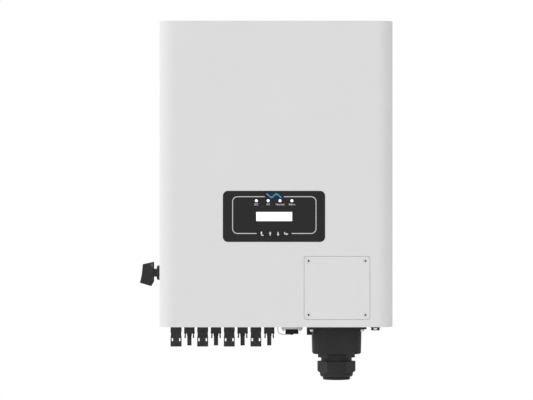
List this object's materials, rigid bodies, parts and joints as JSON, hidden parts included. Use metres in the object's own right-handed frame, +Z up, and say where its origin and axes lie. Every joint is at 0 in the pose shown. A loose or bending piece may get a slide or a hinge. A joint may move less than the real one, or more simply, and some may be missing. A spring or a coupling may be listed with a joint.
{
  "type": "string inverter",
  "caption": "Wall-hung three-phase string inverter: rounded flat case, display with keys, side DC switch, solar connectors and cable gland below, finned heat sink and bracket behind.",
  "frame": {"origin": "centre of the wall bracket's four bolt holes, in the plane of the wall", "axes": "+Z up, +X to the right seen from the front, front faces -Y and the wall is at Y = 0"},
  "size_m": [0.3603, 0.2064, 0.5105],
  "materials": {
    "case_paint": "fine-texture light grey powder coat",
    "bare_aluminium": "extruded, satin",
    "galvanised_steel": "galvanised, dull",
    "stainless_steel": "satin",
    "port_metal": "nickel plated, satin",
    "black_nylon": "moulded, fine grain",
    "knob_plastic": "moulded, satin",
    "panel_film": "smooth satin film",
    "window_clear": "clear",
    "display_white": "backlit white",
    "light_pipe": "diffuse white",
    "black_rubber": "matt",
    "grey_cord": "matt",
    "circuit_board": "solder mask",
    "plated_brass": "tin plated",
    "switch_case": "moulded",
    "capacitor_sleeve": "shrink sleeve",
    "relay_case": "moulded",
    "choke_can": "potted can",
    "terminal_grey": "moulded"
  },
  "bodies": {
    "inverter": {"ac_access_cover": "case_paint", "ac_outlet_box": "black_nylon", "ac_terminal_block": "terminal_grey", "access_cover_gasket": "black_rubber", "access_cover_screws": "stainless_steel", "board_standoffs": "plated_brass", "bracket_lock_screw": "stainless_steel", "bus_capacitors": "capacitor_sleeve", "cap_tether": "grey_cord", "control_board": "circuit_board", "cover_gasket": "black_rubber", "cover_screws": "stainless_steel", "dc_connector_nuts": "black_nylon", "dc_contacts": "plated_brass", "dc_negative_1": "black_nylon", "dc_negative_2": "black_nylon", "dc_negative_3": "black_nylon", "dc_negative_4": "black_nylon", "dc_positive_1": "black_nylon", "dc_positive_2": "black_nylon", "dc_positive_3": "black_nylon", "dc_positive_4": "black_nylon", "dc_switch_body": "switch_case", "display_board": "circuit_board", "display_panel": "panel_film", "display_window": "window_clear", "earth_screw": "stainless_steel", "front_cover": "case_paint", "gland_body": "black_nylon", "gland_locknut": "black_nylon", "gland_seal": "black_rubber", "heat_sink": "bare_aluminium", "heat_sink_screws": "stainless_steel", "inductors": "choke_can", "key_switches": "relay_case", "lcd_module": "display_white", "led_light_pipes": "light_pipe", "main_housing": "case_paint", "outlet_box_gasket": "black_rubber", "outlet_box_screws": "stainless_steel", "output_relays": "relay_case", "port_connector": "port_metal", "port_jack_screws": "port_metal", "power_board": "circuit_board", "power_modules": "relay_case", "rear_hanger": "galvanised_steel", "switch_escutcheon": "knob_plastic", "switch_shaft_seal": "black_rubber", "terminal_screws": "stainless_steel", "vent_valve": "black_nylon", "wall_bracket": "galvanised_steel"},
    "dc_switch": {"dc_switch_knob": "knob_plastic", "dc_switch_shaft": "stainless_steel"},
    "gland_ring": {"gland_pressure_ring": "black_nylon"},
    "gland_nut": {"gland_nut": "black_nylon"},
    "dust_cap": {"port_dust_cap": "black_rubber"},
    "key_escape": {"key_escape": "panel_film"},
    "key_up": {"key_up": "panel_film"},
    "key_down": {"key_down": "panel_film"},
    "key_enter": {"key_enter": "panel_film"}
  },
  "joints": [
    {"name": "dc_switch_turn", "type": "hinge", "parent": "inverter", "child": "dc_switch", "pos_m": [-0.1753, -0.121, -0.2153], "axis": [1, 0, 0], "range_deg": [0, 90]},
    {"name": "gland_ring_slide", "type": "slide", "parent": "inverter", "child": "gland_ring", "axis": [0, 0, -1], "range_m": [0, 0.00301]},
    {"name": "gland_nut_turn", "type": "hinge", "parent": "gland_ring", "child": "gland_nut", "pos_m": [0.087, -0.126, -0.355], "axis": [0, 0, -1], "range_deg": [0, 720]},
    {"name": "dust_cap_pull", "type": "slide", "parent": "inverter", "child": "dust_cap", "axis": [0, 0, -1], "range_m": [0, 0.007], "deforming": ["cap_tether"]},
    {"name": "key_escape_press", "type": "slide", "parent": "inverter", "child": "key_escape", "axis": [0, 1, 0], "range_m": [0, 0.0005], "stiffness_N_per_m": 1000, "springref_m": -0.0003},
    {"name": "key_up_press", "type": "slide", "parent": "inverter", "child": "key_up", "axis": [0, 1, 0], "range_m": [0, 0.0005], "stiffness_N_per_m": 1000, "springref_m": -0.0003},
    {"name": "key_down_press", "type": "slide", "parent": "inverter", "child": "key_down", "axis": [0, 1, 0], "range_m": [0, 0.0005], "stiffness_N_per_m": 1000, "springref_m": -0.0003},
    {"name": "key_enter_press", "type": "slide", "parent": "inverter", "child": "key_enter", "axis": [0, 1, 0], "range_m": [0, 0.0005], "stiffness_N_per_m": 1000, "springref_m": -0.0003}
  ],
  "couplings": [
    {"joint": "gland_ring_slide", "follows": "gland_nut_turn", "m_per_rad": 0.00023873}
  ]
}
